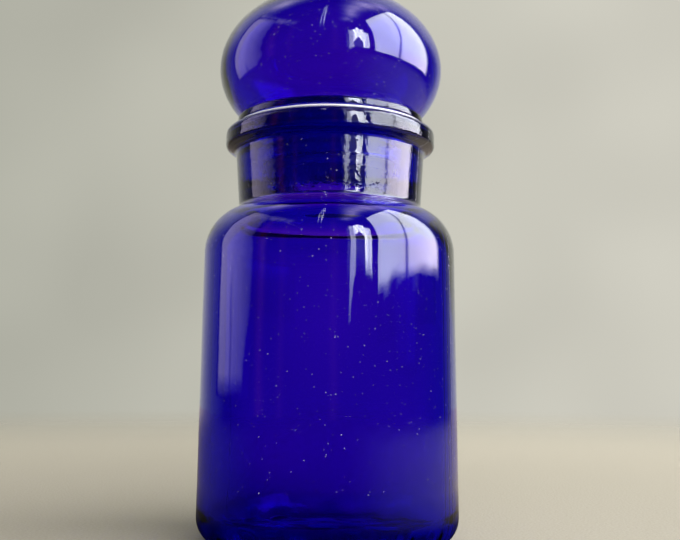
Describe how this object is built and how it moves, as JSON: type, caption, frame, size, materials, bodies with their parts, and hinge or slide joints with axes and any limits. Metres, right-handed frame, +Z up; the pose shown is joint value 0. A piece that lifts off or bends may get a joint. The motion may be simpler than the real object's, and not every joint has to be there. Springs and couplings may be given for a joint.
{
  "type": "medicine bottle",
  "caption": "Cobalt glass medicine jar with a rounded shoulder, short neck, hollow squashed-bubble stopper and a plastic seal ring.",
  "frame": {"origin": "centre of the face that the jar stands on", "axes": "+Z up along the jar's axis, from the base to the top of the stopper"},
  "size_m": [0.064, 0.064, 0.1385],
  "materials": {
    "cobalt_glass": "glossy deep blue transparent glass",
    "seal_plastic": "translucent white polyethylene"
  },
  "bodies": {
    "jar_body": {"jar": "cobalt_glass"},
    "seal_body": {"seal_ring": "seal_plastic"},
    "stopper_body": {"stopper": "cobalt_glass"}
  },
  "joints": [
    {"name": "stopper_lift", "type": "slide", "parent": "jar_body", "child": "seal_body", "axis": [0, 0, 1], "range_m": [0, 0.05]},
    {"name": "stopper_twist", "type": "hinge", "parent": "seal_body", "child": "stopper_body", "pos_m": [0, 0, 0.1032], "axis": [0, 0, 1], "continuous": true}
  ]
}
